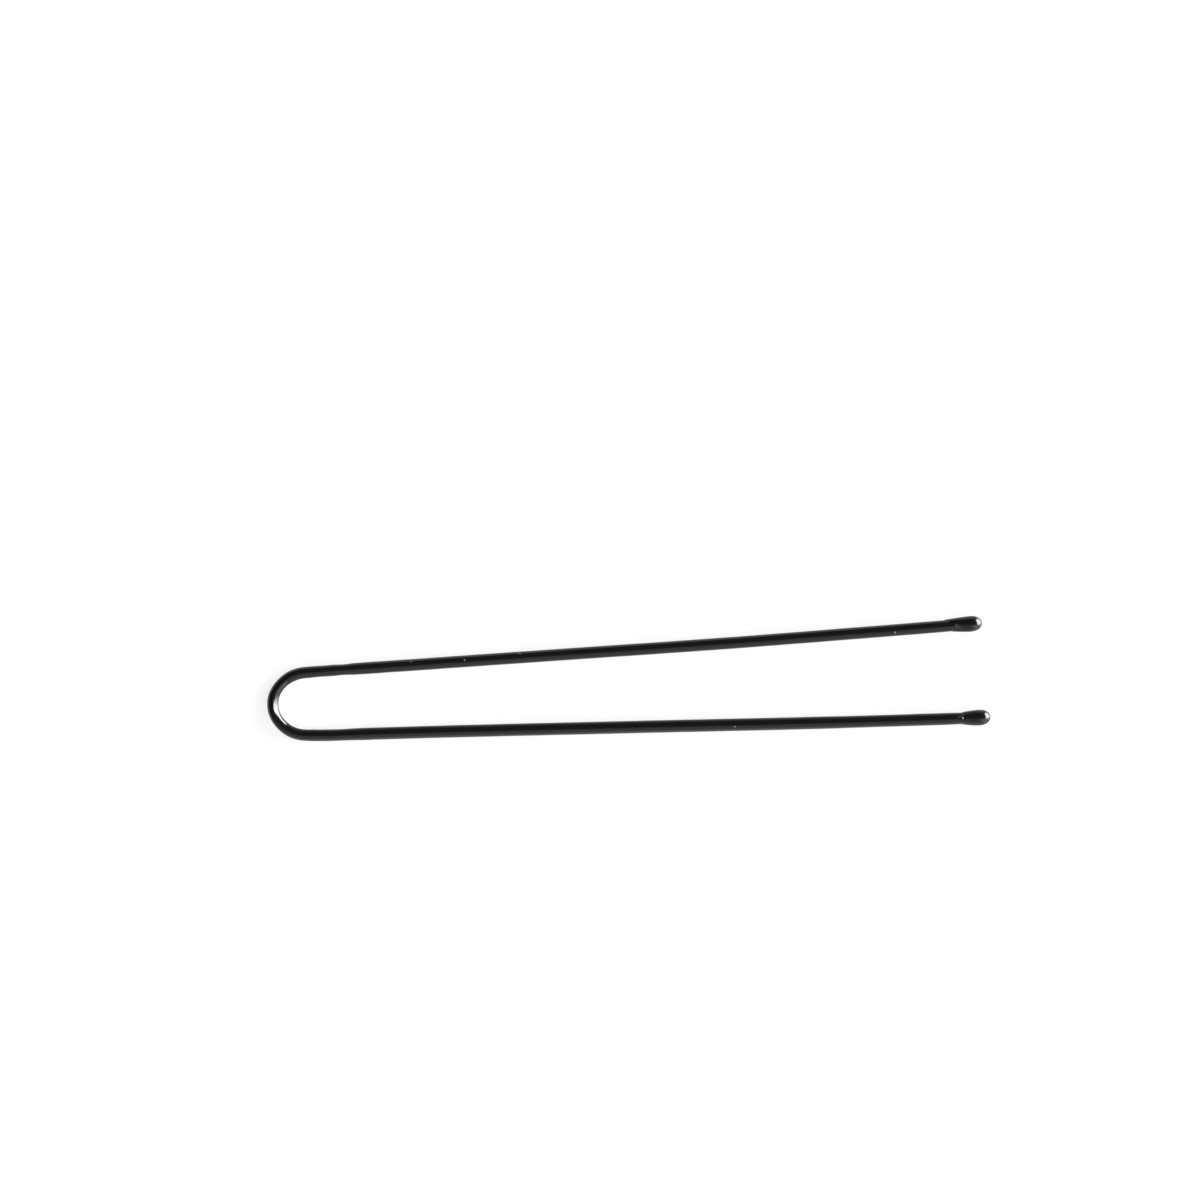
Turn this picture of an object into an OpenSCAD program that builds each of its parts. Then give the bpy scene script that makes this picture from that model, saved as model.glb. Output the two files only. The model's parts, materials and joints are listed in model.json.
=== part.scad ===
// Open hairpin: one length of spring-steel wire bent into a U and enamelled, with a drop of
// cured resin on each tip. All sizes are in millimetres.
// The pin lies flat, resting on the crown of its bend and on its two tip beads.
// +X runs from the bend to the tips, +Y to the left leg and +Z up from the surface it lies on.
// The origin is on that surface, under the middle of the pin's outline.

/* [Wire] */
// Diameter of the bare steel wire
wire_d = 0.95; // [0.8:0.05:1]
// Thickness of the enamel all round the wire
enamel_t = 0.05; // [0.03:0.01:0.08]

/* [Outline] */
// Length over all, from the crown of the bend to the end of the right leg
overall_l = 65; // [45:1:75]
// Radius of the bend, to the middle of the wire
bend_r = 2.85; // [2.6:0.05:4]
// Angle at which each leg leans away from the pin's middle line
leg_splay = 1.35; // [0.8:0.05:2]
// How far the left leg ends short of the right leg
left_short = 0.35; // [0:0.05:1]

/* [Tip beads] */
// Greatest diameter of a bead
bead_d = 1.45; // [1.3:0.05:1.8]
// Length of the bead on the left leg
left_bead_l = 3.05; // [2.4:0.05:4]
// Length of the bead on the right leg
right_bead_l = 2.55; // [2.2:0.05:4]
// How round the left bead swells behind its nose, from 0 for a straight cone to 1 for a full curve
left_swell = 0.55; // [0:0.05:1]
// How round the right bead swells behind its nose
right_swell = 0.75; // [0:0.05:1]
// Length of a bead's nose, ahead of its thickest place
nose_l = 1.1; // [0.9:0.05:1.3]
// Thickness of the resin at a bead's back edge
lip_t = 0.04; // [0.02:0.01:0.06]
// Thickness of the resin between the end of the coated wire and the bead's tip
cover_t = 0.6; // [0.4:0.05:0.7]

/* [Flexing] */
// Place where each leg is taken to flex, as a share of its length from the bend
flex_share = 0.15; // [0.12:0.01:0.2]
// Running gap round the leg's rounded end there
seam_gap = 0.02; // [0.01:0.005:0.04]

/* [Hidden] */
$fn = 64;

steel_colour = [0.62, 0.63, 0.65];
enamel_colour = [0.03, 0.03, 0.035];
resin_colour = [0.05, 0.05, 0.055];

LEFT = 1;
RIGHT = -1;

wire_r = wire_d / 2;
coated_r = wire_r + enamel_t;
bead_r = bead_d / 2;

// From the centre of the bend to the end of the right leg, along the pin's middle line
right_reach = overall_l - bend_r - coated_r;
// Each leg's own length, from where the bend runs into it to the end of its bead
right_leg_l = leg_length(right_reach);
left_leg_l = leg_length(right_reach - left_short);

// The leg's rounded end at its flexing place is wider than the wire, so it cuts the wire cleanly
flex_s = flex_share * right_leg_l;
knuckle_r = 1.2 * coated_r;

// The beads are thicker than the wire, so the pin lies at a slight slope, with its bend the lower end
lay_slope = asin((bead_r - coated_r) / (bend_r + right_reach - left_short - nose_l));
bend_centre_z = coated_r + bend_r * sin(lay_slope);
outline_mid_x = (right_reach - bend_r - coated_r) / 2;

// Steps along a bead's outline, behind its thickest place and round its nose
taper_steps = 12;
nose_steps = 12;
// Fullness of the nose: 2 is an ellipse, and more is blunter
nose_power = 2.4;

// A leg's length, for a given reach along the pin's middle line
function leg_length(reach) = (reach + bend_r * sin(leg_splay)) / cos(leg_splay);

// Share of a bead's swelling reached at the share t of its taper
function swelling(t, swell) = swell * sin(90 * t) + (1 - swell) * t;

// The outline of a bead from its back edge to its thickest place, as [radius, place along the leg]
function taper_points(back, taper_l, swell) = [
    for (i = [0 : taper_steps - 1])
        let (t = i / taper_steps)
        [coated_r + lip_t + (bead_r - coated_r - lip_t) * swelling(t, swell), back + taper_l * t]
];

// The outline of a bead's nose, from its thickest place to its tip
function nose_points(front) = [
    for (i = [0 : nose_steps])
        let (t = sin(90 * i / nose_steps))
        [bead_r * sqrt(max(0, 1 - pow(t, nose_power))), front - nose_l * (1 - t)]
];

// Lays the pin down on its bend and beads
module laid_flat() {
    translate([-outline_mid_x, 0, bend_centre_z])
        rotate([0, -lay_slope, 0])
            children();
}

// Places what is drawn along +X from where the bend ends on the leg of the given side
module on_leg(side) {
    rotate([0, 0, side * leg_splay])
        translate([0, side * bend_r, 0])
            children();
}

// A round bar along a leg, from one distance to another
module bar(r, from, to) {
    translate([from, 0, 0])
        rotate([0, 90, 0])
            cylinder(r = r, h = to - from);
}

// An upright round through a leg at its flexing place
module knuckle(r) {
    translate([flex_s, 0, 0])
        cylinder(r = r, h = 6 * coated_r, center = true);
}

// All that lies nearer to the bend than the leg's rounded end
module behind_knuckle() {
    difference() {
        translate([flex_s - 3 * knuckle_r, -2 * knuckle_r, -2 * knuckle_r])
            cube([3 * knuckle_r, 4 * knuckle_r, 4 * knuckle_r]);
        knuckle(knuckle_r);
    }
}

// The bend as a sweep of the profile given as the child
module bend_arc() {
    rotate([0, 0, 90 + leg_splay])
        rotate_extrude(angle = 180 - 2 * leg_splay)
            translate([bend_r, 0])
                children();
}

// The steel of the bend, with the start of both legs up to where they flex
module bend_wire() {
    color(steel_colour) laid_flat() {
        bend_arc() circle(r = wire_r);
        for (side = [LEFT, RIGHT])
            on_leg(side)
                difference() {
                    bar(wire_r, 0, flex_s);
                    knuckle(knuckle_r + seam_gap);
                }
    }
}

// The steel of one leg, from its rounded end at the flexing place to its cut end inside the bead
module leg_wire(side, leg_l) {
    color(steel_colour) laid_flat() on_leg(side)
        difference() {
            bar(wire_r, flex_s - 2 * knuckle_r, leg_l - cover_t - enamel_t);
            behind_knuckle();
        }
}

module left_leg_wire() {
    leg_wire(LEFT, left_leg_l);
}

module right_leg_wire() {
    leg_wire(RIGHT, right_leg_l);
}

// The enamel on the bend and on the start of both legs
module bend_enamel() {
    color(enamel_colour) laid_flat() {
        bend_arc()
            difference() {
                circle(r = coated_r);
                circle(r = wire_r);
            }
        for (side = [LEFT, RIGHT])
            on_leg(side)
                difference() {
                    bar(coated_r, 0, flex_s);
                    bar(wire_r, -1, flex_s + 1);
                    knuckle(knuckle_r + seam_gap);
                }
    }
}

// The enamel on one leg, closed over the wire's cut end
module leg_enamel(side, leg_l) {
    color(enamel_colour) laid_flat() on_leg(side)
        difference() {
            bar(coated_r, flex_s - 2 * knuckle_r, leg_l - cover_t);
            bar(wire_r, flex_s - 3 * knuckle_r, leg_l - cover_t - enamel_t);
            behind_knuckle();
        }
}

module left_leg_enamel() {
    leg_enamel(LEFT, left_leg_l);
}

module right_leg_enamel() {
    leg_enamel(RIGHT, right_leg_l);
}

// A drop of resin, turned from its outline, with a blind socket that holds the coated wire's end
module tip_bead(side, leg_l, bead_l, swell) {
    back = leg_l - bead_l;
    socket_end = leg_l - cover_t;
    outline = concat(
        [[coated_r, back]],
        taper_points(back, bead_l - nose_l, swell),
        nose_points(leg_l),
        [[0, socket_end], [coated_r, socket_end]]
    );
    color(resin_colour) laid_flat() on_leg(side)
        rotate([0, 90, 0])
            rotate_extrude()
                polygon(outline);
}

module left_tip_bead() {
    tip_bead(LEFT, left_leg_l, left_bead_l, left_swell);
}

module right_tip_bead() {
    tip_bead(RIGHT, right_leg_l, right_bead_l, right_swell);
}

bend_wire();
left_leg_wire();
right_leg_wire();
bend_enamel();
left_leg_enamel();
right_leg_enamel();
left_tip_bead();
right_tip_bead();
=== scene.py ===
# Open hairpin: an enamelled spring wire bent into a U, with a drop of cured resin on each tip.
# Forms are worked out in millimetres, in the pin's own plane round the centre of its bend.
# Each piece is then set down in the frame, in metres.
import json
from math import acos, atan2, cos, exp, hypot, pi, radians, sin, sqrt

import bmesh
import bpy
from mathutils import Euler, Matrix, Vector, noise


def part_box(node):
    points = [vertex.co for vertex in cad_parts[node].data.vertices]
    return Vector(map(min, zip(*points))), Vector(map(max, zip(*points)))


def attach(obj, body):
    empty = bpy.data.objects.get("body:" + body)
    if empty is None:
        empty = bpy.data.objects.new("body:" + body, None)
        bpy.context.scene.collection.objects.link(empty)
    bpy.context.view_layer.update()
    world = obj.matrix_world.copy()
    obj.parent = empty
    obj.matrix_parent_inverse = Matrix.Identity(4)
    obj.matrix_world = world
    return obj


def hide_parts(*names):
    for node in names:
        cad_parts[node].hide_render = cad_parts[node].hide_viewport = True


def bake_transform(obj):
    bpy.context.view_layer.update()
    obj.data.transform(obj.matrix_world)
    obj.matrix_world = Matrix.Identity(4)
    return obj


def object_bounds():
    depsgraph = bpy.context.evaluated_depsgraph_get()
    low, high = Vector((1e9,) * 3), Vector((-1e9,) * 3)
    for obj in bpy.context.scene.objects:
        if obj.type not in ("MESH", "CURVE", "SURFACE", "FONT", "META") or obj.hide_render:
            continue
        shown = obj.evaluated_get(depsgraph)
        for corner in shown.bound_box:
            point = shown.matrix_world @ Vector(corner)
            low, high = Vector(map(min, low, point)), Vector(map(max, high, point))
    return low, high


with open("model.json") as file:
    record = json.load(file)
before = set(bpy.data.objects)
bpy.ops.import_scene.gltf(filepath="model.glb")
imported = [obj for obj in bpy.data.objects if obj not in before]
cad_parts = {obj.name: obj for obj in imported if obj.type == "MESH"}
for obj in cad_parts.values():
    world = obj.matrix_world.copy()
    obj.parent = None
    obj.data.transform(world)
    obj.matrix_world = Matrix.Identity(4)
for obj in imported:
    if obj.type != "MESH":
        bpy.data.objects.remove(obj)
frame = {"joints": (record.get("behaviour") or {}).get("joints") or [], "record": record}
cad_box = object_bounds()

MM = 0.001
# The height of the surface that the pin lies on, which nothing of it goes below
LOWEST = cad_box[0][2]
LEFT = 1
RIGHT = -1
NAMES = {LEFT: "left", RIGHT: "right"}

# The wire and its coat
WIRE_R = 0.475
ENAMEL_T = 0.05
COATED_R = WIRE_R + ENAMEL_T
BEND_R = 2.85

# The beads: their greatest radius, their nose ahead of it, and the resin past the coated wire's end
BEAD_R = 0.725
NOSE_L = 1.1
NOSE_POWER = 2.4
COVER_T = 0.6
LIP_T = 0.04
# The noses stop this much short of the drawn ones, since the real legs stray sideways there
NOSE_SHY = 0.004

# The coat is one skin on the real pin. It is divided here on straight wire, clear of the bend's
# lumps and of the length that flexes, so that its shine runs on unbroken.
SEAM_S = 2.0
FLEX_HALF = 5.0

# How finely the wire is divided: round it, along a leg and round the bend
ROUND = 64
STATION = 0.25
BEND_STEPS = 72


# The pin's plane and its legs, from the frame

MOUNTS = {mount["name"]: mount for mount in frame["record"]["mounts"]}
JOINTS = {joint["name"]: joint for joint in frame["joints"]}


def pin_plane():
    """The matrix from the pin's plane, in millimetres, to the frame."""
    up = Vector(JOINTS["left_leg_flex"]["axis"]).normalized()
    across = Vector((0, 1, 0))
    along = across.cross(up)
    turned = Matrix((along, across, up)).transposed().to_4x4()
    centre = Vector(MOUNTS["bend_eye"]["pos_m"])
    return Matrix.Translation(centre) @ turned @ Matrix.Scale(MM, 4)


PIN = pin_plane()


class Leg:
    """One leg: its line in the pin's plane, where it flexes, and its length to its bead's end."""

    def __init__(self, side):
        self.side = side
        self.name = NAMES[side] + "_leg"
        hinge = PIN.inverted() @ Vector(JOINTS[self.name + "_flex"]["pos_m"])
        self.flex_s = sqrt(hinge.length_squared - BEND_R**2)
        self.splay = atan2(side * hinge.y, hinge.x) - atan2(BEND_R, self.flex_s)
        bead_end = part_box(NAMES[side] + "_tip_bead")[1].x
        reach = (bead_end - PIN.translation.x) / PIN.col[0][0]
        self.length = (reach + BEND_R * sin(self.splay)) / cos(self.splay) - NOSE_SHY
        turn = Matrix.Rotation(side * self.splay, 4, "Z")
        self.place = turn @ Matrix.Translation((0, side * BEND_R, 0))
        self.back = self.place.inverted()

    def at(self, s):
        """The point of the leg's middle line at a distance from where the bend ends."""
        return self.place @ Vector((s, 0, 0))


LEGS = {side: Leg(side) for side in (LEFT, RIGHT)}
HALF_ARC = (pi / 2 - LEGS[LEFT].splay) * BEND_R


# The camera looks straight down on the pin, as the photograph looks at its broad side

PHOTO_PX = 1200
MM_PER_PX = 0.09005
LENS = 100
SENSOR = 36
BEND_PX = (304.5, 704.0)
PHOTO_TILT = radians(2.855)
# The nearest and the furthest that the camera sees, in metres
CLIPS = (0.01, 10)


def camera_place():
    """The camera's foot on the pin's plane and its distance, which put the bend at its pixel."""
    right = (BEND_PX[0] - PHOTO_PX / 2) * MM_PER_PX
    up = (PHOTO_PX / 2 - BEND_PX[1]) * MM_PER_PX
    seen = Matrix.Rotation(-PHOTO_TILT, 4, "Z") @ Vector((right, up, 0))
    return -seen, PHOTO_PX * MM_PER_PX * LENS / SENSOR


CAMERA_FOOT, CAMERA_DISTANCE = camera_place()


def seen_at(px, py):
    """The point of the pin's plane that stands at a pixel of the photograph."""
    right = (px - PHOTO_PX / 2) * MM_PER_PX
    up = (PHOTO_PX / 2 - py) * MM_PER_PX
    return CAMERA_FOOT + Matrix.Rotation(-PHOTO_TILT, 4, "Z") @ Vector((right, up, 0))


def add_camera():
    data = bpy.data.cameras.new("camera")
    data.lens = LENS
    data.sensor_width = SENSOR
    data.clip_start, data.clip_end = CLIPS
    camera = bpy.data.objects.new("camera", data)
    foot = Vector((CAMERA_FOOT.x, CAMERA_FOOT.y, 0)) * MM
    centre = PIN.translation
    camera.location = (centre.x + foot.x, foot.y, centre.z + CAMERA_DISTANCE * MM)
    camera.rotation_euler = Euler((0, 0, -PHOTO_TILT))
    bpy.context.scene.collection.objects.link(camera)
    bpy.context.scene.camera = camera


# How the real wire strays from the drawn one

# How far the middle of the wire lies outside the drawn one, in millimetres, at distances from
# where the bend ends: the crown is at -4.4, and the bead at 61
STRAY = {
    LEFT: (
        (-4.4, 0.004), (-3.6, 0.0), (-2.7, -0.06), (-1.8, -0.096), (-0.6, -0.082), (0.3, -0.028),
        (1.2, -0.014), (4, -0.026), (8, -0.044), (22, -0.102), (38, -0.176), (50, -0.132),
        (57.5, -0.082), (59.8, -0.056), (60.6, -0.042), (62, -0.036),
    ),
    RIGHT: (
        (-4.4, 0.004), (-3.7, -0.004), (-2.7, -0.065), (-1.6, -0.083), (-0.4, -0.07), (0.6, -0.012),
        (2.6, 0.021), (4.5, -0.011), (8, -0.028), (14, -0.04), (30, -0.002), (46, 0.05),
        (57.5, 0.002), (59.8, -0.022), (60.5, -0.032), (61.2, -0.055), (62, -0.08),
    ),
}
# How much thicker the real coated wire is than the drawn one, as a radius, at the same distances.
# The bending tool left a waist at 3.7 and a swelling past it.
THICKER = {
    LEFT: (
        (-4.4, -0.014), (-2.2, -0.026), (-1.2, -0.006), (0, -0.002), (1.8, -0.022), (2.8, -0.006),
        (3.7, -0.042), (4.8, 0.01), (8, 0.014), (57, 0.012), (59.5, -0.005), (62, -0.005),
    ),
    RIGHT: (
        (-4.4, -0.014), (-2.4, -0.014), (0, 0.0), (2, 0.009), (3.7, 0.003), (5.1, 0.034),
        (6.5, 0.03), (18, 0.038), (46, 0.038), (50, 0.018), (57.5, 0.018), (59.8, -0.005),
        (62, -0.005),
    ),
}
# A small lump of enamel on the inner side where the bend ends: distance, growth, half length
INNER_LUMP = (0.75, 0.016, 0.3)
# The flats that the bending pin pressed along the bend's inner side: distance from the crown, half
# length, and their middle and half width as angles from straight up or down, towards the inner side
FLAT = (-0.2, 1.0, radians(34), radians(25))
# The coat's own slow unevenness
COAT_WAVE = 0.006
COAT_WAVE_L = 1.6


def smooth(x):
    """An even step from 0 at 0 to 1 at 1."""
    x = min(1.0, max(0.0, x))
    return x * x * (3 - 2 * x)


def through(points, x):
    """The height at x of a smooth curve through points."""
    last = len(points) - 1
    i = max(k for k in range(last) if k == 0 or points[k][0] <= x)
    slopes = [
        (points[min(k + 1, last)][1] - points[max(k - 1, 0)][1])
        / (points[min(k + 1, last)][0] - points[max(k - 1, 0)][0])
        for k in (i, i + 1)
    ]
    (x0, y0), (x1, y1) = points[i], points[i + 1]
    span = x1 - x0
    t = (x - x0) / span
    rest = 1 - t
    ends = y0 * (1 + 2 * t) * rest * rest + y1 * (3 - 2 * t) * t * t
    return ends + span * t * rest * (slopes[0] * rest - slopes[1] * t)


def bump(x, centre, half):
    """A soft rise of 1 at its centre, which has died away by twice its half length."""
    return exp(-(((x - centre) / half) ** 2))


def unbent(point):
    """A point of the drawn pin on its unbent wire: along from the crown to the left, out and up."""
    side = LEFT if point.y >= 0 else RIGHT
    on_leg = LEGS[side].back @ point
    if on_leg.x >= 0:
        return Vector((side * (HALF_ARC + on_leg.x), side * on_leg.y, on_leg.z))
    swing = acos(max(-1.0, min(1.0, -point.x / hypot(point.x, point.y))))
    return Vector((side * swing * BEND_R, hypot(point.x, point.y) - BEND_R, point.z))


def outward(point):
    """The direction in the pin's plane that leads straight out of it at a point of the wire."""
    side = LEFT if point.y >= 0 else RIGHT
    if (LEGS[side].back @ point).x >= 0:
        return LEGS[side].place.col[1].xyz * side
    return Vector((point.x, point.y, 0)).normalized()


def along_leg(along):
    """The side of a place on the unbent wire, and its distance from where the bend ends."""
    return LEFT if along >= 0 else RIGHT, abs(along) - HALF_ARC


def stray(along):
    """How far the middle of the real wire lies outside that of the drawn one."""
    side, s = along_leg(along)
    return through(STRAY[side], s)


def pressed(straight):
    """How deep the bending pin's flats go at a point."""
    at, half, middle, width = FLAT
    off = abs(atan2(-straight.y, abs(straight.z)) - middle)
    if off >= width:
        return 0.0
    return COATED_R * (1 - cos(width) / cos(off)) * bump(straight.x, at, half)


def growth(straight):
    """How much thicker the real wire is at a point."""
    side, s = along_leg(straight.x)
    at, by, half = INNER_LUMP
    inner = max(0.0, -straight.y / COATED_R) ** 2
    wave = Vector((straight.x / COAT_WAVE_L, straight.y, straight.z))
    lump = inner * by * bump(s, at, half)
    return through(THICKER[side], s) + lump - pressed(straight) + COAT_WAVE * noise.noise(wave)


def hand_formed(bm):
    """Moves every point to where the real pin has it, and keeps its place on the unbent wire."""
    layer = bm.verts.layers.float_vector.new("straight")
    for v in bm.verts:
        straight = unbent(v.co)
        v[layer] = straight
        out = outward(v.co)
        radial = out * straight.y + Vector((0, 0, straight.z))
        v.co += out * stray(straight.x)
        if radial.length > 0:
            v.co += radial.normalized() * growth(straight) * min(1.0, radial.length / WIRE_R)


# Wire

# Edges that turn by more than this stay sharp
SHARP = radians(50)
# How far the rims of the coat's and the core's cut ends are rounded, and in how many steps
COAT_RIM = 2 * ENAMEL_T
CORE_RIM = 1.2 * ENAMEL_T
RIM_STEPS = 3


def ring(bm, radius, place):
    """A ring of points round the wire, across the +X of place."""
    standing = place @ Matrix.Rotation(pi / 2, 4, "Y")
    verts = bmesh.ops.create_circle(bm, segments=ROUND, radius=radius, matrix=standing)["verts"]
    return edges_within(verts)


def edges_within(verts):
    """The edges that have both their ends among verts."""
    kept = set(verts)
    return list({e for v in verts for e in v.link_edges if kept.issuperset(e.verts)})


def draw_out(bm, edges, shift):
    """Draws an open end of the wire out by shift, in even stations. Returns the new end's edges."""
    made = bmesh.ops.extrude_edge_only(bm, edges=edges)["geom"]
    verts = [item for item in made if isinstance(item, bmesh.types.BMVert)]
    bmesh.ops.translate(bm, verts=verts, vec=shift)
    end = edges_within(verts)
    long_edges = list({e for v in verts for e in v.link_edges} - set(end))
    cuts = round(shift.length / STATION) - 1
    bmesh.ops.subdivide_edges(bm, edges=long_edges, cuts=cuts)
    return end


def round_over(bm, edges, width):
    """Closes an open end and rounds its rim."""
    bmesh.ops.edgeloop_fill(bm, edges=edges)
    bmesh.ops.bevel(
        bm, geom=edges, offset=width, segments=RIM_STEPS, profile=0.5,
        affect="EDGES", material=-1,
    )


def bend_wire_form(radius):
    """The wire of the bend and of the start of both legs, open at both ends, with those ends."""
    bm = bmesh.new()
    left_end = ring(bm, radius, LEGS[LEFT].place)
    start = left_end + list({v for e in left_end for v in e.verts})
    turn = pi - LEGS[LEFT].splay - LEGS[RIGHT].splay
    swept = bmesh.ops.spin(
        bm, geom=start, cent=(0, 0, 0), axis=(0, 0, 1), angle=turn, steps=BEND_STEPS
    )["geom_last"]
    right_end = [item for item in swept if isinstance(item, bmesh.types.BMEdge)]
    ends = [
        draw_out(bm, edges, LEGS[side].at(SEAM_S) - LEGS[side].at(0))
        for side, edges in ((LEFT, left_end), (RIGHT, right_end))
    ]
    return bm, ends


def leg_wire_form(leg, radius, end_s):
    """The wire of one leg from the seam on, open at both ends, with those ends."""
    bm = bmesh.new()
    seam = ring(bm, radius, leg.place @ Matrix.Translation((SEAM_S, 0, 0)))
    end = draw_out(bm, seam, leg.at(end_s) - leg.at(SEAM_S))
    return bm, seam, end


def facing_out(bm):
    bmesh.ops.recalc_face_normals(bm, faces=bm.faces)


def set_down(bm, name, material):
    """Makes an object of a finished form, smooth but for its true edges, in metres in the frame."""
    hand_formed(bm)
    bm.transform(PIN)
    for v in bm.verts:
        v.co.z = max(v.co.z, LOWEST)
    for face in bm.faces:
        face.smooth = True
    for edge in bm.edges:
        edge.smooth = len(edge.link_faces) == 2 and edge.calc_face_angle() < SHARP
    mesh = bpy.data.meshes.new(name)
    bm.to_mesh(mesh)
    bm.free()
    mesh.materials.append(material)
    piece = bpy.data.objects.new(name, mesh)
    bpy.context.scene.collection.objects.link(piece)
    return piece


def cross_the_flex(piece, leg):
    """Bakes the piece's place into its mesh. Where it would start on the bend's body and end on the
    leg's is worked out, but not used.
    """
    start = PIN @ leg.at(leg.flex_s - FLEX_HALF)
    end = PIN @ leg.at(leg.flex_s + FLEX_HALF)
    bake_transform(piece)


def bend_coat(material):
    """The enamel round the bend."""
    bm, _ = bend_wire_form(COATED_R)
    facing_out(bm)
    bmesh.ops.solidify(bm, geom=bm.faces[:], thickness=ENAMEL_T)
    piece = set_down(bm, "bend_coat", material)
    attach(piece, "bend")
    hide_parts("bend_enamel")


def bend_core(material):
    """The steel inside it."""
    bm, ends = bend_wire_form(WIRE_R)
    for end in ends:
        bmesh.ops.edgeloop_fill(bm, edges=end)
    facing_out(bm)
    piece = set_down(bm, "bend_core", material)
    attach(piece, "bend")
    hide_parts("bend_wire")


def leg_coat(leg, material):
    """The enamel on one leg, closed over the wire's cut end."""
    bm, _, end = leg_wire_form(leg, COATED_R, leg.length - COVER_T)
    round_over(bm, end, COAT_RIM)
    facing_out(bm)
    bmesh.ops.solidify(bm, geom=bm.faces[:], thickness=ENAMEL_T)
    piece = set_down(bm, leg.name + "_coat", material)
    cross_the_flex(piece, leg)
    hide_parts(leg.name + "_enamel")


def leg_core(leg, material):
    """The steel inside one leg."""
    bm, seam, end = leg_wire_form(leg, WIRE_R, leg.length - COVER_T - ENAMEL_T)
    bmesh.ops.edgeloop_fill(bm, edges=seam)
    round_over(bm, end, CORE_RIM)
    facing_out(bm)
    piece = set_down(bm, leg.name + "_core", material)
    cross_the_flex(piece, leg)
    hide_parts(leg.name + "_wire")


# Tip beads

BEAD_ROUND = 128
TAPER_STEPS = 56
NOSE_STEPS = 24
LIP_STEPS = 4
# How much closer the outline's steps lie behind the thickest place, towards the back edge
TAPER_CROWDING = 1.5
# Points of a bead's outline that lie closer than this are one
MERGED = 0.0005
# What lies further out than this is a bead's outer skin, and what lies nearer its socket
SKIN_R = COATED_R + 0.001
# The groove just ahead of the resin's back edge: its distance from that edge, half width and depth,
# and the place round the wire where it is deepest and its spread there, in degrees from straight up
GROOVE = (0.11, 0.045, 0.035)
GROOVE_ROUND = (-20, 40)
# The raised rim of a burst bubble: its place and half width as shares of the bubble's radius, and
# its height as a share of the depth. Then the power that rounds the bubble's floor.
PIT_RIM = (1.25, 0.35, 0.35)
PIT_FLOOR = 0.8


class Drop:
    """How one hand-dipped bead differs from the other."""

    def __init__(self, back, swell, pits):
        # Distance of the resin's back edge from the nose, at places round the wire: degrees from
        # straight up, towards the outside of the pin
        self.back = back
        self.mean_back = sum(b for _, b in back[:-1]) / (len(back) - 1)
        # How round it swells behind its thickest place: 0 is a straight cone
        self.swell = swell
        # Burst bubbles: pixel of the photograph, radius, depth
        self.pits = pits


DROPS = {
    LEFT: Drop(
        back=((-90, 2.66), (-38, 2.05), (10, 2.5), (90, 3.35), (180, 3.1), (270, 2.66)),
        swell=0.55,
        pits=(),
    ),
    RIGHT: Drop(
        back=((-90, 2.56), (-45, 2.6), (0, 2.92), (45, 2.6), (90, 2.54), (180, 2.6), (270, 2.56)),
        swell=0.75,
        pits=(
            ((963.1, 717.8), 0.15, 0.068),
            ((970.6, 716.6), 0.06, 0.015),
            ((975.5, 717.0), 0.07, 0.018),
        ),
    ),
}


def bead_outline(leg, drop):
    """The bead's outline, (distance along the leg, radius), from its socket's end to its nose."""
    length = drop.mean_back
    back = leg.length - length
    thickest = leg.length - NOSE_L
    points = [(leg.length - COVER_T, 0.0), (leg.length - COVER_T, COATED_R), (back, COATED_R)]
    for i in range(1, LIP_STEPS + 1):
        a = pi / 2 * i / LIP_STEPS
        points.append((back + LIP_T * (1 - cos(a)), COATED_R + LIP_T * sin(a)))
    lip_end = back + LIP_T
    lip_r = COATED_R + LIP_T
    for i in range(1, TAPER_STEPS + 1):
        t = (i / TAPER_STEPS) ** TAPER_CROWDING
        swelling = drop.swell * sin(pi / 2 * t) + (1 - drop.swell) * t
        points.append((lip_end + (thickest - lip_end) * t, lip_r + (BEAD_R - lip_r) * swelling))
    for i in range(1, NOSE_STEPS + 1):
        t = sin(pi / 2 * i / NOSE_STEPS)
        radius = BEAD_R * sqrt(max(0.0, 1 - t**NOSE_POWER))
        points.append((thickest + NOSE_L * t, radius))
    return points


def pull_back_edge(bm, leg, drop):
    """Stretches the bead behind its thickest place to its uneven, grooved back edge."""
    thickest = leg.length - NOSE_L
    at, half, depth = GROOVE
    middle, spread = GROOVE_ROUND
    for v in bm.verts:
        local = leg.back @ v.co
        radius = hypot(local.y, local.z)
        if local.x < thickest and radius > COATED_R / 2:
            round_deg = (atan2(leg.side * local.y, local.z) * 180 / pi + 90) % 360 - 90
            reach = through(drop.back, round_deg) - NOSE_L
            share = (thickest - local.x) / (drop.mean_back - NOSE_L)
            local.x = thickest - share * reach
            if radius > SKIN_R:
                sunk = depth * bump((1 - share) * reach, at, half) * bump(round_deg, middle, spread)
                local.y *= 1 - sunk / radius
                local.z *= 1 - sunk / radius
            v.co = leg.place @ local


def sink_pits(bm, leg, drop):
    """Sinks each burst bubble into the bead's upper side, with a slightly raised rim."""
    rim_at, rim_half, rim_height = PIT_RIM
    for pixel, radius, depth in drop.pits:
        spot = leg.back @ seen_at(*pixel)
        for v in bm.verts:
            local = leg.back @ v.co
            if local.z > 0 and hypot(local.y, local.z) > SKIN_R:
                away = hypot(local.x - spot.x, local.y - spot.y) / radius
                rim = bump(away, rim_at, rim_half) * rim_height
                sunk = depth * (rim - smooth(1 - away) ** PIT_FLOOR)
                v.co += leg.place.to_3x3() @ Vector((0, local.y, local.z)).normalized() * sunk


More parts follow.
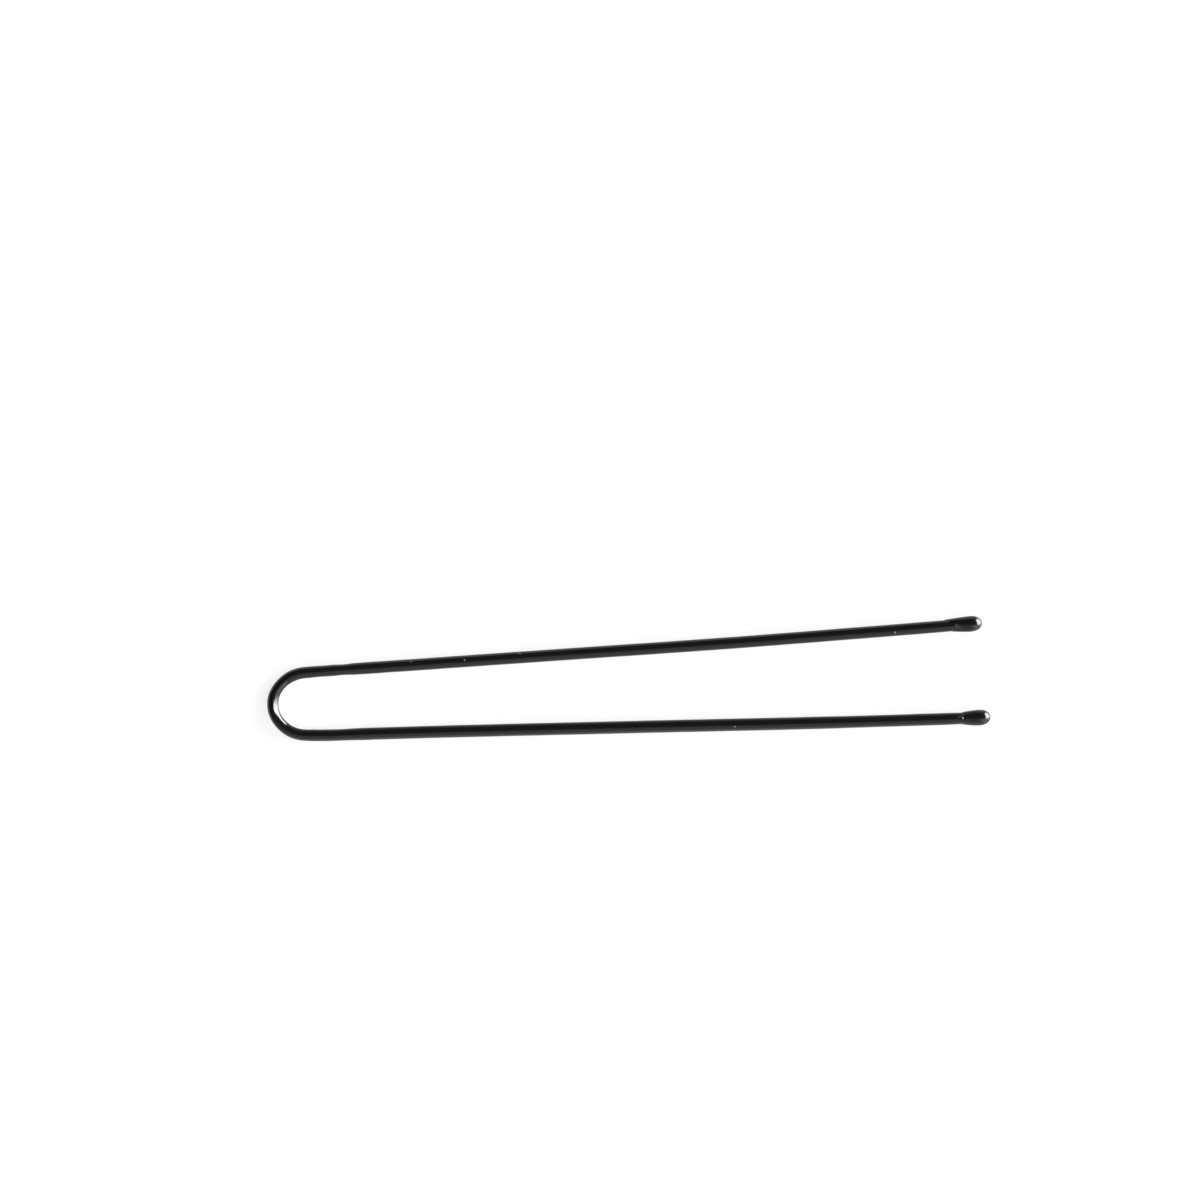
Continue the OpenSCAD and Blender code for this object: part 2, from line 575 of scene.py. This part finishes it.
def tip_bead(leg, drop, material):
    """One drop of resin, with a blind socket round the coated wire's end."""
    bm = bmesh.new()
    points = [bm.verts.new(leg.place @ Vector((s, r, 0))) for s, r in bead_outline(leg, drop)]
    edges = [bm.edges.new(pair) for pair in zip(points, points[1:])]
    axis = leg.at(1) - leg.at(0)
    bmesh.ops.spin(
        bm, geom=points + edges, cent=leg.at(0), axis=axis, angle=2 * pi,
        steps=BEAD_ROUND, use_merge=True,
    )
    bmesh.ops.remove_doubles(bm, verts=bm.verts, dist=MERGED)
    facing_out(bm)
    pull_back_edge(bm, leg, drop)
    sink_pits(bm, leg, drop)
    piece = set_down(bm, NAMES[leg.side] + "_bead", material)
    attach(piece, leg.name)
    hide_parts(NAMES[leg.side] + "_tip_bead")


# Finishes

# Refractive indices, the black of both finishes, the grey of dust caught in them and of their
# painted highlights, and the steel's darker and brighter lines
ENAMEL_IOR = 1.4
RESIN_IOR = 1.34
BLACK = (0.007, 0.007, 0.007)
DUST_AND_HIGHLIGHT_GREY = (0.3, 0.3, 0.3)
STEEL_DARK = (0.46, 0.47, 0.48)
STEEL_BRIGHT = (0.66, 0.67, 0.68)
# Relief in millimetres: the enamel's peel, the resin's flow and the steel's drawn lines
PEEL = 0.003
FLOW = 0.006
LINES = 0.002
# A mark's relief, dust and painted highlight alike, as a multiple of the peel's, and its roughness
MARK_RELIEF = 4.0
MARK_ROUGHNESS = 0.5
# The share of a soft spot's radii within which it is full
SPOT_CORE = 0.5
# The sockets of a Mix node that hold its two colours and its mixed one
MIX_LOW = 6
MIX_HIGH = 7
MIX_RESULT = 2


class Wiring:
    """The nodes of one material or lamp, and the steps that put them together."""

    def __init__(self, tree):
        self.nodes = tree.nodes
        self.links = tree.links

    def link(self, source, target):
        self.links.new(source, target)

    def fill(self, socket, value):
        """Gives an input a number or a vector, or links it to the step that makes its value."""
        if isinstance(value, bpy.types.NodeSocket):
            self.link(value, socket)
        else:
            socket.default_value = value

    def maths(self, operation, first, second):
        """A step on two values or numbers."""
        node = self.nodes.new("ShaderNodeMath")
        node.operation = operation
        self.fill(node.inputs[0], first)
        self.fill(node.inputs[1], second)
        return node.outputs["Value"]

    def vector_maths(self, operation, first, second=(0, 0, 0)):
        """A step on vectors: of its outputs, read the Vector or the Value."""
        node = self.nodes.new("ShaderNodeVectorMath")
        node.operation = operation
        self.fill(node.inputs[0], first)
        self.fill(node.inputs[1], second)
        return node.outputs

    def spread(self, value, low, high, to_low, to_high, interpolation="SMOOTHSTEP"):
        """Maps the stretch from low to high to another."""
        node = self.nodes.new("ShaderNodeMapRange")
        node.interpolation_type = interpolation
        node.inputs["From Min"].default_value = low
        node.inputs["From Max"].default_value = high
        node.inputs["To Min"].default_value = to_low
        node.inputs["To Max"].default_value = to_high
        self.link(value, node.inputs["Value"])
        return node.outputs["Result"]


class Finish(Wiring):
    """A material of the pin. Patterns lie on the unbent wire."""

    def __init__(self, name):
        self.material = bpy.data.materials.new(name)
        self.material.use_nodes = True
        super().__init__(self.material.node_tree)
        self.shader = self.nodes["Principled BSDF"]
        attribute = self.nodes.new("ShaderNodeAttribute")
        attribute.attribute_name = "straight"
        self.straight = attribute.outputs["Vector"]

    def grain(self, along, across, detail=2.0):
        """Noise from 0 to 1 whose grains have this length and width, in millimetres."""
        scaled = self.nodes.new("ShaderNodeMapping")
        scaled.inputs["Scale"].default_value = (1 / along, 1 / across, 1 / across)
        self.link(self.straight, scaled.inputs["Vector"])
        node = self.nodes.new("ShaderNodeTexNoise")
        node.inputs["Scale"].default_value = 1.0
        node.inputs["Detail"].default_value = detail
        self.link(scaled.outputs["Vector"], node.inputs["Vector"])
        return node.outputs["Fac"]

    def spot(self, place, radii):
        """A soft spot, 1 in its middle and 0 outside its radii, at a place on the unbent wire."""
        moved = self.vector_maths("SUBTRACT", self.straight, place)["Vector"]
        sized = self.vector_maths("DIVIDE", moved, radii)["Vector"]
        away = self.vector_maths("LENGTH", sized)["Value"]
        return self.spread(away, low=SPOT_CORE, high=1.0, to_low=1.0, to_high=0.0)

    def coloured(self, factor, low, high):
        """The base colour, from low to high by a factor."""
        node = self.nodes.new("ShaderNodeMix")
        node.data_type = "RGBA"
        node.inputs[MIX_LOW].default_value = (*low, 1)
        node.inputs[MIX_HIGH].default_value = (*high, 1)
        self.link(factor, node.inputs["Factor"])
        self.link(node.outputs[MIX_RESULT], self.shader.inputs["Base Color"])

    def roughened(self, roughness):
        self.link(roughness, self.shader.inputs["Roughness"])

    def raised(self, height, distance_mm):
        """Relief: height of 1 stands out by a distance."""
        node = self.nodes.new("ShaderNodeBump")
        node.inputs["Strength"].default_value = 1.0
        node.inputs["Distance"].default_value = distance_mm * MM
        self.link(height, node.inputs["Height"])
        self.link(node.outputs["Normal"], self.shader.inputs["Normal"])


def on_wire(px, py):
    """The unbent place of what shows on a leg's upper side at a pixel of the photograph."""
    point = seen_at(px, py)
    side = LEFT if point.y >= 0 else RIGHT
    local = LEGS[side].back @ point
    out = side * local.y - stray(side * (HALF_ARC + local.x))
    return (side * (HALF_ARC + local.x), out, sqrt(max(0.0, COATED_R**2 - out**2)))


# Specks, short scratches, painted highlights and a painted reflection streak: pixel of the
# photograph, radii along and across the wire in millimetres, and strength
ENAMEL_MARKS_AND_HIGHLIGHTS = (
    ((464.7, 659.9), 0.08, 0.08, 0.85),
    ((894.4, 632.4), 0.085, 0.085, 1.0),
    ((734.5, 726.3), 0.08, 0.08, 0.85),
    ((411.5, 661.8), 0.14, 0.04, 0.5),
    ((518.4, 652.8), 0.12, 0.06, 0.75),
    ((520.2, 653.9), 0.10, 0.05, 0.65),
    # Painted reflection: a faint pale streak on the wire just ahead of the lower bead.
    ((957.6, 716.5), 0.20, 0.07, 0.17),
    ((949.5, 619.8), 0.22, 0.06, 0.13),
    # Painted highlight: the pale C-shaped line along the upper bead's back edge.
    ((955.6, 625.3), 0.15, 0.06, 0.4),
)
RESIN_MARKS_AND_HIGHLIGHTS = (
    # Painted highlight that brightens the glint in the largest burst bubble.
    ((962.7, 717.9), 0.06, 0.08, 0.27),
    ((970.9, 716.5), 0.08, 0.06, 0.1),
    ((975.5, 716.9), 0.06, 0.09, 0.15),
    ((957.5, 620.3), 0.20, 0.05, 0.13),
    ((966.0, 617.8), 0.30, 0.05, 0.1),
    # Painted highlight: the pale C-shaped line along the upper bead's back edge, in two spots.
    ((955.6, 625.3), 0.15, 0.06, 0.4),
    ((958.6, 629.0), 0.09, 0.13, 0.16),
)


def dust_and_highlights(finish, marks_and_glints):
    """The specks, scratches and painted highlights of a finish as one value."""
    all_marks = None
    for pixel, along, across, strength in marks_and_glints:
        soft = finish.spot(on_wire(*pixel), (along, across, across))
        mark = finish.maths("MULTIPLY", soft, strength)
        all_marks = mark if all_marks is None else finish.maths("MAXIMUM", all_marks, mark)
    return all_marks


def enamel():
    """Glossy black enamel: a faint orange peel drawn out along the wire, with dust caught in it and
    painted highlights and a painted reflection streak near the beads.
    """
    finish = Finish("gloss black enamel")
    finish.shader.inputs["IOR"].default_value = ENAMEL_IOR
    marks_and_glints = dust_and_highlights(finish, ENAMEL_MARKS_AND_HIGHLIGHTS)
    finish.coloured(marks_and_glints, BLACK, DUST_AND_HIGHLIGHT_GREY)
    clouds = finish.grain(along=3.0, across=0.35)
    dull = finish.spread(clouds, low=0.35, high=0.75, to_low=0.05, to_high=0.14)
    rough = finish.maths("MULTIPLY", marks_and_glints, MARK_ROUGHNESS)
    finish.roughened(finish.maths("MAXIMUM", dull, rough))
    peel = finish.grain(along=0.9, across=0.22, detail=1.0)
    standing = finish.maths("MULTIPLY", marks_and_glints, MARK_RELIEF)
    finish.raised(finish.maths("ADD", peel, standing), PEEL)
    return finish.material


def resin():
    """Glossy black resin: smoother than the enamel, with a slow flow in it, dust specks and painted
    highlights.
    """
    finish = Finish("gloss black resin")
    finish.shader.inputs["IOR"].default_value = RESIN_IOR
    finish.coloured(dust_and_highlights(finish, RESIN_MARKS_AND_HIGHLIGHTS), BLACK, DUST_AND_HIGHLIGHT_GREY)
    clouds = finish.grain(along=0.4, across=0.25)
    finish.roughened(finish.spread(clouds, low=0.3, high=0.7, to_low=0.05, to_high=0.14))
    finish.raised(finish.grain(along=0.22, across=0.2, detail=1.0), FLOW)
    return finish.material


def drawn_steel():
    """Drawn spring steel: bright, with fine lines along the wire."""
    finish = Finish("drawn spring steel")
    finish.shader.inputs["Metallic"].default_value = 1.0
    finish.coloured(finish.grain(along=4.0, across=0.05), STEEL_DARK, STEEL_BRIGHT)
    dull = finish.grain(along=5.0, across=0.04)
    finish.roughened(finish.spread(dull, low=0.3, high=0.7, to_low=0.25, to_high=0.42))
    finish.raised(finish.grain(along=6.0, across=0.03), LINES)
    return finish.material


# The stage: a plain white floor that keeps the pin's soft shadow, and a low white wall round it

FLOOR_R = 2.0
FLOOR_ROUND = 96
WALL_H = 0.4
FLOOR_DROP = 0.02 * MM
WHITE = (1, 1, 1, 1)
# Between these distances the floor near the pin turns into the plain white further out
NEAR_R = 0.12
FAR_R = 0.30
FLOOR_GLOW = 0.8
FLOOR_COLOUR = 0.27
FLOOR_ROUGHNESS = 0.15


def floor_material():
    """Pale gloss near the pin. Further out, white to whatever sees it, and it lights nothing."""
    material = bpy.data.materials.new("pale floor")
    material.use_nodes = True
    wiring = Wiring(material.node_tree)
    nodes = wiring.nodes
    shader = nodes["Principled BSDF"]
    shader.inputs["Roughness"].default_value = FLOOR_ROUGHNESS
    shader.inputs["Emission Color"].default_value = WHITE
    path = nodes.new("ShaderNodeLightPath").outputs
    seen = wiring.maths("MAXIMUM", path["Is Camera Ray"], path["Is Glossy Ray"])
    seen = wiring.maths("MAXIMUM", seen, path["Is Transmission Ray"])
    place = nodes.new("ShaderNodeTexCoord").outputs["Object"]
    away = wiring.vector_maths("LENGTH", place)["Value"]
    far = wiring.spread(away, low=NEAR_R, high=FAR_R, to_low=0.0, to_high=1.0)
    glow = wiring.spread(far, 0.0, 1.0, FLOOR_GLOW, 1.0, "LINEAR")
    wiring.link(wiring.maths("MULTIPLY", glow, seen), shader.inputs["Emission Strength"])
    colour = wiring.spread(far, 0.0, 1.0, FLOOR_COLOUR, 0.0, "LINEAR")
    wiring.link(colour, shader.inputs["Base Color"])
    return material


def add_floor():
    bm = bmesh.new()
    made = bmesh.ops.create_circle(bm, cap_ends=True, segments=FLOOR_ROUND, radius=FLOOR_R)
    rim = made["verts"]
    made = bmesh.ops.extrude_edge_only(bm, edges=edges_within(rim))["geom"]
    top = [item for item in made if isinstance(item, bmesh.types.BMVert)]
    bmesh.ops.translate(bm, verts=top, vec=(0, 0, WALL_H))
    bmesh.ops.translate(bm, verts=bm.verts, vec=(0, 0, -FLOOR_DROP))
    mesh = bpy.data.meshes.new("floor")
    bm.to_mesh(mesh)
    bm.free()
    mesh.materials.append(floor_material())
    floor = bpy.data.objects.new("floor", mesh)
    bpy.context.scene.collection.objects.link(floor)


# Lights

WORLD_LEVEL = 0.06

# Edges of a softbox's light: the planes through the pin that bound it, as (the plane's normal on
# its lit side, then the sines of the angles from the plane at which the light begins and is full)
KEY_TOP = ((0.680, -0.060, -0.731), -0.05, 0.17)
KEY_LEFT = ((0.788, -0.616, 0.0), -0.03, 0.06)
KEY_RIGHT = ((0.19, 0.98, 0.0), -0.42, 0.33)
CARD_TOP = ((0.0, -1.0, 0.0), 0.0, 0.6)
CARD_BACK = ((1.0, 0.0, 0.0), -0.95, -0.4)
FILL_TOP = ((0.0, -1.0, 0.0), 0.2, 0.5)


def softbox(name, azimuth, elevation, distance, size, radiance, edges, shine_only=False):
    """A softbox that faces the pin from a direction: azimuth in degrees from +X towards +Y."""
    width, height = size
    data = bpy.data.lights.new(name, "AREA")
    data.shape = "RECTANGLE"
    data.size = width
    data.size_y = height
    data.energy = 4 * width * height * radiance
    data.use_nodes = True
    wiring = Wiring(data.node_tree)
    place = wiring.nodes.new("ShaderNodeNewGeometry").outputs["Position"]
    direction = wiring.vector_maths("NORMALIZE", place)["Vector"]
    level = None
    for normal, begins, full in edges:
        past = wiring.vector_maths("DOT_PRODUCT", direction, normal)["Value"]
        edge = wiring.spread(past, low=begins, high=full, to_low=0.0, to_high=1.0)
        level = edge if level is None else wiring.maths("MULTIPLY", level, edge)
    wiring.link(level, wiring.nodes["Emission"].inputs["Strength"])
    light = bpy.data.objects.new(name, data)
    a = radians(azimuth)
    e = radians(elevation)
    towards = Vector((cos(a) * cos(e), sin(a) * cos(e), sin(e)))
    light.location = towards * distance
    light.rotation_euler = towards.to_track_quat("Z", "Y").to_euler()
    light.visible_camera = False
    light.visible_diffuse = not shine_only
    bpy.context.scene.collection.objects.link(light)


def add_lights():
    """The key with a stronger one just in front that only shines, a weak fill, and a card."""
    key_edges = (KEY_TOP, KEY_LEFT, KEY_RIGHT)
    softbox(
        "key", azimuth=15, elevation=24, distance=0.8, size=(1.7, 0.7),
        radiance=8, edges=key_edges,
    )
    softbox(
        "key_shine", azimuth=15, elevation=24, distance=0.79, size=(1.7, 0.7),
        radiance=20, edges=key_edges, shine_only=True,
    )
    softbox(
        "fill", azimuth=-42, elevation=30, distance=0.85, size=(0.7, 0.9),
        radiance=1.7, edges=(FILL_TOP,),
    )
    softbox(
        "side_card", azimuth=-95, elevation=45, distance=0.9, size=(2.2, 1.8),
        radiance=0.78, edges=(CARD_TOP, CARD_BACK),
    )
    world = bpy.data.worlds.new("studio")
    world.use_nodes = True
    background = world.node_tree.nodes["Background"]
    background.inputs["Color"].default_value = WHITE
    background.inputs["Strength"].default_value = WORLD_LEVEL
    bpy.context.scene.world = world


add_camera()
black_enamel = enamel()
black_resin = resin()
steel = drawn_steel()
bend_core(steel)
bend_coat(black_enamel)
for side, leg in LEGS.items():
    leg_core(leg, steel)
    leg_coat(leg, black_enamel)
    tip_bead(leg, DROPS[side], black_resin)
add_floor()
add_lights()
bpy.context.scene.view_settings.view_transform = "Standard"
